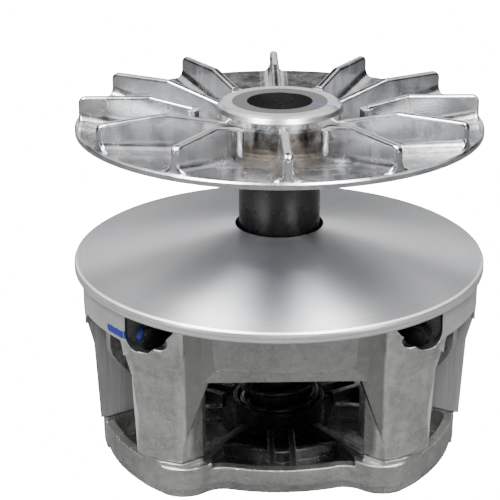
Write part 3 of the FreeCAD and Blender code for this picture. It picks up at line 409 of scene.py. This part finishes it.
def plain_metal(name, color_low, color_high, metallic, roughness, marked=False):
    """Small metal piece: grain, patches and rounded edges."""
    n = Nodes(name)
    patches = n.noise(180.0, 4.0, 0.6)
    fine = n.noise(2200.0, 3.0, 0.6)
    color = n.mix(n.remap(patches, 0.35, 0.65), color_low, color_high)
    if marked:
        color = n.mix(daub_mask(n), color, MARK_BLUE)
    normal = n.bump(fine, 0.15, 0.0001, n.rounded(0.0003))
    return n.finish(color, metallic, n.remap(fine, 0.3, 0.7, roughness - 0.05, roughness + 0.05), normal)


# --- which surface gets which material ---------------------------------------
def paint(node, materials, choose=None):
    """Give a CAD node its materials; choose(center, normal) picks one by its number."""
    mesh = NODES[node].data
    mesh.materials.clear()
    for material in materials:
        mesh.materials.append(material)
    for face in mesh.polygons:
        face.material_index = choose(face.center, face.normal) if choose else 0


def outward(center, normal):
    """How far a surface faces away from the shaft axis, -1 to 1."""
    away = Vector((center.x, center.y, 0))
    return normal.dot(away.normalized()) if away.length else 0.0


def angle_off_station(center):
    """Degrees from the nearest station's centre plane."""
    azimuth = math.degrees(math.atan2(center.y, center.x))
    return min(abs((azimuth - station + 180) % 360 - 180) for station in STATION_AZIMUTHS)


def station_place(center):
    """Distance out and across, measured from the nearest station's centre plane."""
    best = (-1.0, 0.0)
    for azimuth in STATION_AZIMUTHS:
        angle = math.radians(azimuth)
        out = center.x * math.cos(angle) + center.y * math.sin(angle)
        across = -center.x * math.sin(angle) + center.y * math.cos(angle)
        if out > best[0]:
            best = (out, across)
    return best


TOWER, FACE, LIP, SKIRT, CHANNEL, DARK_INSIDE, POCKET, BAND, EDGE = range(9)


def in_pocket(center, normal, radius):
    """True inside the scoops that the pivot bolts sit in."""
    beside = POCKET_ANGLES[0] < angle_off_station(center) < POCKET_ANGLES[1]
    level = POCKET_FLOOR_Z < center.z < POCKET_TOP_Z
    deep = POCKET_RADII[0] < radius < POCKET_RADII[1]
    return beside and level and deep and outward(center, normal) < 0.75


def movable_surface(center, normal):
    radius = math.hypot(center.x, center.y)
    facing = outward(center, normal)
    out, across = station_place(center)
    if normal.z > 0.9 and center.z > FACE_FOOT_Z:
        return FACE
    if radius > RIM_RADIUS - LIP_DEPTH and center.z > LIP_BOTTOM:
        return LIP
    if radius > RIM_RADIUS - SKIRT_DEPTH and center.z > SKIRT_BOTTOM and facing > 0.9:
        return SKIRT
    if in_pocket(center, normal, radius):
        return POCKET
    in_channel = WEB_REACH < abs(across) < CHANNEL_REACH
    if out > CHANNEL_START and in_channel and abs(normal.z) < WALL_TURN:
        return CHANNEL
    # Inward faces, and the underside near the shaft, get the painted shade.
    if facing < -WALL_TURN or (radius < UNDERSIDE_RADIUS and normal.z < -0.5):
        return DARK_INSIDE
    if angle_off_station(center) < BAND_ANGLE:
        return TOWER
    # The band's downward-facing lower edge gets the painted highlight.
    low = BAND_BOTTOM < center.z < BAND_BOTTOM + BAND_EDGE_HEIGHT
    return EDGE if low and -0.9 < normal.z < -0.2 else BAND


WALL, COVER_INSIDE = range(2)


def cover_surface(center, normal):
    radius = math.hypot(center.x, center.y)
    if center.z <= COVER_FLOOR_Z:
        return WALL
    floor = center.z < COVER_INNER_TOP and normal.z > 0.5 and radius < COVER_FLOOR_RADIUS
    inner_wall = outward(center, normal) < -WALL_TURN and radius < COVER_WALL_RADIUS
    # The cover's floor, inner wall and middle get the painted shade.
    return COVER_INSIDE if floor or inner_wall or radius < COVER_MIDDLE_RADIUS else WALL


FINS, HUB_TOP, BELT_SIDE = range(3)


def fixed_surface(center, normal):
    radius = math.hypot(center.x, center.y)
    if radius < HUB_FACE_RADIUS and center.z > HUB_FACE_Z:
        return HUB_TOP
    return BELT_SIDE if normal.z < -0.9 and center.z < BELT_SIDE_TOP else FINS


COAT, RING_END = range(2)


def post_surface(center, normal):
    radius = math.hypot(center.x, center.y)
    on_end = normal.z > 0.5 and center.z > POST_END_Z
    return RING_END if on_end and radius > BORE_EDGE_RADIUS else COAT


def paint_all():
    """Every CAD node gets its look."""
    tower = casting("tower_casting", 0.50, marked=True)
    # The band between the towers: a darker copy of the tower casting, painted shade.
    band = casting("band_casting", 0.34, spread=0.24, grain=0.50)
    # A much lighter copy of the casting on the band's lower edge: painted highlight.
    edge = casting("band_edge_painted_highlight", 0.80, roughness=0.30)
    wall = casting("cover_casting", 0.48, spread=0.26)
    # A darker copy of the casting for inward faces, the underside near the shaft and the cover's inside:
    # painted shade.
    inside = casting("shaded_casting", 0.20, 0.30, 0.30, tint=grey)
    spider_look = casting("spider_casting", 0.16, 0.45, 0.15)
    # Much darker casting inside the pivot pockets.
    scoop = casting("dark_pocket_casting", 0.085, 0.45, 0.30)
    face = turned_face()
    black = black_coat("satin_black")
    steel = plain_metal("zinc_steel", grey(0.34), grey(0.46), 1.0, 0.32)
    bolt = plain_metal("bolt_steel", grey(0.020), grey(0.045), 0.6, 0.30, marked=True)
    bronze = plain_metal("bush_bronze", (0.36, 0.25, 0.13, 1), (0.52, 0.38, 0.20, 1), 1.0, 0.36)
    lined = plain_metal("lined_bush", (0.060, 0.055, 0.047, 1), (0.100, 0.090, 0.075, 1), 0.8, 0.45)
    plastic = plain_metal("slide_plastic", grey(0.025), grey(0.045), 0.0, 0.50)
    ground = plain_metal("ground_steel", grey(0.40), grey(0.52), 1.0, 0.22)
    lip = rim_metal("turned_lip", 0.76, 0.30, lined=True)
    skirt = rim_metal("turned_skirt", 0.66, 0.40, marked=True)
    paint("movable_sheave", [tower, face, lip, skirt, striated_wall(), inside, scoop, band, edge],
          movable_surface)
    paint("cover", [wall, inside], cover_surface)
    paint("fixed_sheave", [bright_fins(), turned_hub(), face], fixed_surface)
    paint("post_shaft", [black, ring_steel()], post_surface)
    looks = {
        "spring_cup": black, "primary_spring": black, "spider_nut": black, "spider": spider_look,
        "movable_bushing": bronze, "cover_bushing": lined, "cover_screws": steel,
        "spider_buttons": plastic, "roller_pins": ground, "pivot_bolts": bolt, "pivot_nuts": bolt}
    for number in ("1", "2", "3"):
        looks["roller_" + number] = ground
        looks["roller_bush_" + number] = bronze
        looks["flyweight_" + number] = ground
        looks["flyweight_bush_" + number] = bronze
    for node, look in looks.items():
        paint(node, [look])


# --- studio and camera -------------------------------------------------------
FLOOR_BOUNCE = 0.10        # how pale the floor is to everything but the camera
BACKDROP = 22.0            # what the camera sees behind the part, bright enough to be white


def soft_box(name, place, target, size, radiance, turned=0):
    """Rectangular light of a given brightness that the camera itself doesn't see."""
    data = bpy.data.lights.new(name, "AREA")
    data.shape = "RECTANGLE"
    data.size, data.size_y = size
    data.energy = radiance * math.pi * size[0] * size[1]
    light = bpy.data.objects.new(name, data)
    light.location = place
    direction = Vector(target) - Vector(place)
    facing = direction.to_track_quat("-Z", "Y").to_matrix()
    light.rotation_euler = (facing @ Matrix.Rotation(math.radians(turned), 3, "Z")).to_euler()
    light.visible_camera = False
    bpy.context.scene.collection.objects.link(light)


def pale_floor():
    """Pale matte floor that looks white where the camera sees it."""
    floor_radius, floor_drop = 6.0, 0.0002
    mesh = bpy.data.meshes.new("floor")
    builder = bmesh.new()
    bmesh.ops.create_circle(builder, cap_ends=True, radius=floor_radius, segments=64)
    builder.to_mesh(mesh)
    builder.free()
    floor = bpy.data.objects.new("floor", mesh)
    floor.location.z = CAD_BOX[0][2] - floor_drop
    bpy.context.scene.collection.objects.link(floor)
    n = Nodes("pale_floor")
    n.shader.inputs["Base Color"].default_value = grey(FLOOR_BOUNCE)
    n.shader.inputs["Roughness"].default_value = 0.9
    seen = n.add("ShaderNodeLightPath").outputs["Is Camera Ray"]
    glow = n.add("ShaderNodeEmission", {"Strength": BACKDROP}).outputs[0]
    mixed = n.add("ShaderNodeMixShader", {0: seen, 1: n.shader.outputs[0], 2: glow}).outputs[0]
    n.feed(n.tree.nodes["Material Output"].inputs["Surface"], mixed)
    mesh.materials.append(n.material)


def surroundings():
    """White behind the part; dim for its reflections, and dimmer overhead than at the horizon."""
    world = bpy.data.worlds.new("studio")
    bpy.context.scene.world = world
    world.use_nodes = True
    tree = world.node_tree
    around = tree.nodes["Background"]
    white = tree.nodes.new("ShaderNodeBackground")
    white.inputs["Strength"].default_value = BACKDROP
    direction = tree.nodes.new("ShaderNodeTexCoord").outputs["Generated"]
    up = tree.nodes.new("ShaderNodeSeparateXYZ")
    tree.links.new(direction, up.inputs[0])
    rise = tree.nodes.new("ShaderNodeMapRange")
    for key, value in (("From Min", 0.05), ("From Max", 0.75), ("To Min", 0.34), ("To Max", 0.16)):
        rise.inputs[key].default_value = value
    tree.links.new(up.outputs[2], rise.inputs["Value"])
    tree.links.new(rise.outputs[0], around.inputs["Strength"])
    mixed = tree.nodes.new("ShaderNodeMixShader")
    tree.links.new(tree.nodes.new("ShaderNodeLightPath").outputs["Is Camera Ray"], mixed.inputs[0])
    tree.links.new(around.outputs[0], mixed.inputs[1])
    tree.links.new(white.outputs[0], mixed.inputs[2])
    tree.links.new(mixed.outputs[0], tree.nodes["World Output"].inputs["Surface"])


def studio():
    """Floor, surroundings and soft boxes."""
    pale_floor()
    surroundings()
    soft_box("key_left", (-0.53, -0.39, 1.1), (-0.53, -0.39, 0), (0.42, 0.80), 36.0, turned=-25)
    soft_box("key_right", (0.355, -0.50, 1.1), (0.355, -0.50, 0), (0.30, 0.80), 42.0, turned=17)
    soft_box("sheet_left", (-0.98, 0.55, 1.15), (-0.98, 0.55, 0), (1.30, 1.6), 1.2)
    soft_box("sheet_right", (0.90, 0.55, 1.15), (0.90, 0.55, 0), (1.30, 1.6), 1.2)
    soft_box("back_low", (0.0, 1.5, 0.62), (0, 0, 0.10), (2.6, 0.5), 1.4)
    soft_box("front_low", (0.06, -0.95, 0.22), (0, 0, 0.03), (0.30, 0.16), 4.0)
    soft_box("front_right", (0.75, -0.85, 0.40), (0, 0, 0.07), (0.28, 0.6), 3.4)
    soft_box("front_left", (-0.85, -0.70, 0.45), (0, 0, 0.07), (0.24, 0.6), 3.0)


def camera():
    """Camera at the picture's distance, height and framing."""
    distance = 0.680
    elevation = math.radians(21.28)
    azimuth = math.radians(-2.15)
    level = math.cos(elevation)
    out = Vector((level * math.sin(azimuth), -level * math.cos(azimuth), math.sin(elevation)))
    data = bpy.data.cameras.new("camera")
    data.lens = 97.98
    data.sensor_width = 36.0
    data.shift_x = -0.0583
    data.shift_y = -0.0033
    data.clip_start = 0.01
    item = bpy.data.objects.new("camera", data)
    item.location = Vector((0, 0, FACE_EDGE_Z)) + out * distance
    aim = (-out).to_track_quat("-Z", "Y").to_matrix().to_4x4()
    roll = Matrix.Rotation(math.radians(0.24), 4, "Z")
    item.rotation_euler = (aim @ roll).to_euler()
    bpy.context.scene.collection.objects.link(item)
    bpy.context.scene.camera = item


def spring_follows():
    """The primary spring gets a mesh of its own."""
    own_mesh(NODES["primary_spring"])


paint_all()
spring_follows()
studio()
camera()
